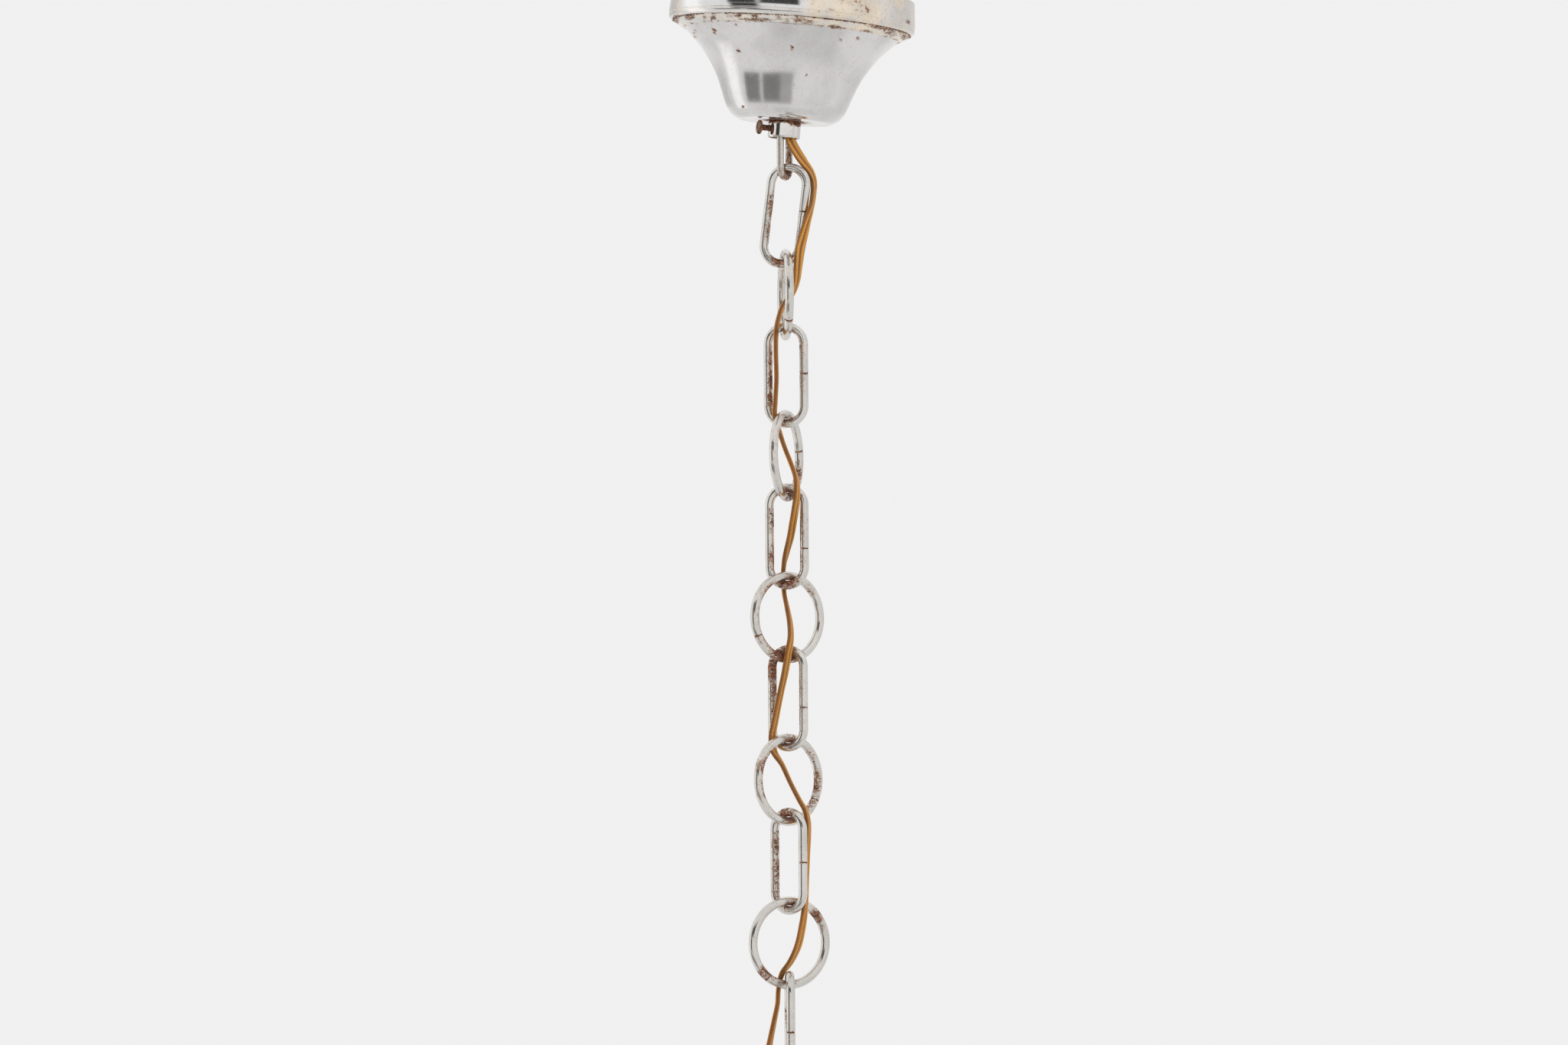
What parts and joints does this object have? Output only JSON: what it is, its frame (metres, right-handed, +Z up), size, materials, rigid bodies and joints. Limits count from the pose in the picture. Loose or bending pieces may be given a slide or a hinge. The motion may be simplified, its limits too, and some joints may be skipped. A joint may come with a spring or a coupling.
{
  "type": "chain pendant lamp",
  "caption": "Chain pendant lamp: trumpet-shaped chrome ceiling canopy, a chain of long and round links with amber flex laced down it, and a covered lampholder with a bare bulb.",
  "frame": {"origin": "on the ceiling, at the centre of the bracket's top face, on the line that the chain hangs on", "axes": "+Z up into the ceiling, -Y towards the camera of the picture, +X to the picture's right"},
  "size_m": [0.1206, 0.1205, 0.6895],
  "materials": {
    "amber_flex": "see-through amber flex, flat twin, smooth",
    "rusted_chrome": "bright plating with speckled brown rust",
    "satin_chrome": "satin plating, small rust spots, glossy band",
    "bright_chrome": "bright plating",
    "rusty_steel": "plating worn to brown rust",
    "zinc_steel": "zinc plated, dull",
    "brass": "plain brass",
    "porcelain": "white glazed porcelain",
    "black_plastic": "black phenolic, glossy",
    "clear_glass": "clear glass"
  },
  "bodies": {
    "mounting": {"ceiling_bracket": "zinc_steel", "hook_lock_nut": "zinc_steel", "ceiling_hook": "zinc_steel", "terminal_block": "porcelain", "terminal_sleeve_1": "brass", "terminal_sleeve_2": "brass", "terminal_screw_1": "brass", "terminal_screw_2": "brass", "terminal_screw_3": "brass", "terminal_screw_4": "brass", "block_screw": "zinc_steel", "stirrup": "rusty_steel", "flex_lead": "amber_flex"},
    "canopy": {"canopy": "satin_chrome", "canopy_collar": "bright_chrome", "collar_lock_ring": "zinc_steel", "flex_exit": "amber_flex"},
    "collar_screw": {"collar_screw": "rusty_steel"},
    "long_link_1": {"long_link_1": "rusted_chrome", "flex_1": "amber_flex"},
    "round_link_1": {"round_link_1": "rusted_chrome", "flex_2": "amber_flex"},
    "long_link_2": {"long_link_2": "rusted_chrome", "flex_3": "amber_flex"},
    "round_link_2": {"round_link_2": "rusted_chrome", "flex_4": "amber_flex"},
    "long_link_3": {"long_link_3": "rusted_chrome", "flex_5": "amber_flex"},
    "round_link_3": {"round_link_3": "rusted_chrome", "flex_6": "amber_flex"},
    "long_link_4": {"long_link_4": "rusted_chrome", "flex_7": "amber_flex"},
    "round_link_4": {"round_link_4": "rusted_chrome", "flex_8": "amber_flex"},
    "long_link_5": {"long_link_5": "rusted_chrome", "flex_9": "amber_flex"},
    "round_link_5": {"round_link_5": "rusted_chrome", "flex_10": "amber_flex"},
    "long_link_6": {"long_link_6": "rusted_chrome", "flex_11": "amber_flex"},
    "lamp": {"lamp_eye": "bright_chrome", "eye_nipple": "zinc_steel", "socket_cover": "bright_chrome", "entry_bush": "black_plastic", "cover_nut": "zinc_steel", "lampholder_cap": "black_plastic", "cap_nut": "zinc_steel", "lampholder_body": "black_plastic", "lampholder_core": "porcelain", "centre_contact": "brass", "screw_shell": "brass", "shade_ring": "black_plastic", "flex_12": "amber_flex"},
    "bulb": {"bulb_cap": "brass", "bulb_glass": "clear_glass", "bulb_stem": "clear_glass"}
  },
  "joints": [
    {"name": "long_link_1_swing", "type": "hinge", "parent": "mounting", "child": "long_link_1", "pos_m": [0, 0, -0.09391], "axis": [0.4462, 0.8949, 0], "range_deg": [-28, 28], "deforming": ["flex_1"]},
    {"name": "round_link_1_swing", "type": "hinge", "parent": "long_link_1", "child": "round_link_1", "pos_m": [0, 0, -0.13561], "axis": [0.9848, -0.1736, 0], "range_deg": [-45, 45], "deforming": ["flex_2"]},
    {"name": "long_link_2_swing", "type": "hinge", "parent": "round_link_1", "child": "long_link_2", "pos_m": [0, 0, -0.17081], "axis": [0.0958, -0.9954, 0], "range_deg": [-45, 45], "deforming": ["flex_3"]},
    {"name": "round_link_2_swing", "type": "hinge", "parent": "long_link_2", "child": "round_link_2", "pos_m": [0, 0, -0.21311], "axis": [-0.9962, 0.0872, 0], "range_deg": [-45, 45], "deforming": ["flex_4"]},
    {"name": "long_link_3_swing", "type": "hinge", "parent": "round_link_2", "child": "long_link_3", "pos_m": [0, 0, -0.24841], "axis": [0.309, 0.9511, 0], "range_deg": [-45, 45], "deforming": ["flex_5"]},
    {"name": "round_link_3_swing", "type": "hinge", "parent": "long_link_3", "child": "round_link_3", "pos_m": [0, 0, -0.29071], "axis": [0.9659, -0.2588, 0], "range_deg": [-35, 35], "deforming": ["flex_6"]},
    {"name": "long_link_4_swing", "type": "hinge", "parent": "round_link_3", "child": "long_link_4", "pos_m": [0, 0, -0.32601], "axis": [-0.7815, -0.6239, 0], "range_deg": [-45, 45], "deforming": ["flex_7"]},
    {"name": "round_link_4_swing", "type": "hinge", "parent": "long_link_4", "child": "round_link_4", "pos_m": [0, 0, -0.36831], "axis": [-0.866, 0.5, 0], "range_deg": [-45, 45], "deforming": ["flex_8"]},
    {"name": "long_link_5_swing", "type": "hinge", "parent": "round_link_4", "child": "long_link_5", "pos_m": [0, 0, -0.40361], "axis": [0.7193, 0.6947, 0], "range_deg": [-45, 45], "deforming": ["flex_9"]},
    {"name": "round_link_5_swing", "type": "hinge", "parent": "long_link_5", "child": "round_link_5", "pos_m": [0, 0, -0.44591], "axis": [0.7771, -0.6293, 0], "range_deg": [-45, 45], "deforming": ["flex_10"]},
    {"name": "long_link_6_swing", "type": "hinge", "parent": "round_link_5", "child": "long_link_6", "pos_m": [0, 0, -0.48121], "axis": [-0.866, -0.5, 0], "range_deg": [-45, 45], "deforming": ["flex_11"]},
    {"name": "lamp_swing", "type": "hinge", "parent": "long_link_6", "child": "lamp", "pos_m": [0, 0, -0.52351], "axis": [-0.0523, 0.9986, 0], "range_deg": [-45, 45], "deforming": ["flex_12"]},
    {"name": "canopy_slide", "type": "slide", "parent": "mounting", "child": "canopy", "axis": [0, 0, -1], "range_m": [0, 0.009], "deforming": ["flex_exit"]},
    {"name": "collar_screw_out", "type": "slide", "parent": "canopy", "child": "collar_screw", "axis": [-0.9378, -0.3437, 0.0489], "range_m": [0, 0.003]},
    {"name": "bulb_out", "type": "slide", "parent": "lamp", "child": "bulb", "axis": [0, 0, -1], "range_m": [0, 0.03]}
  ]
}
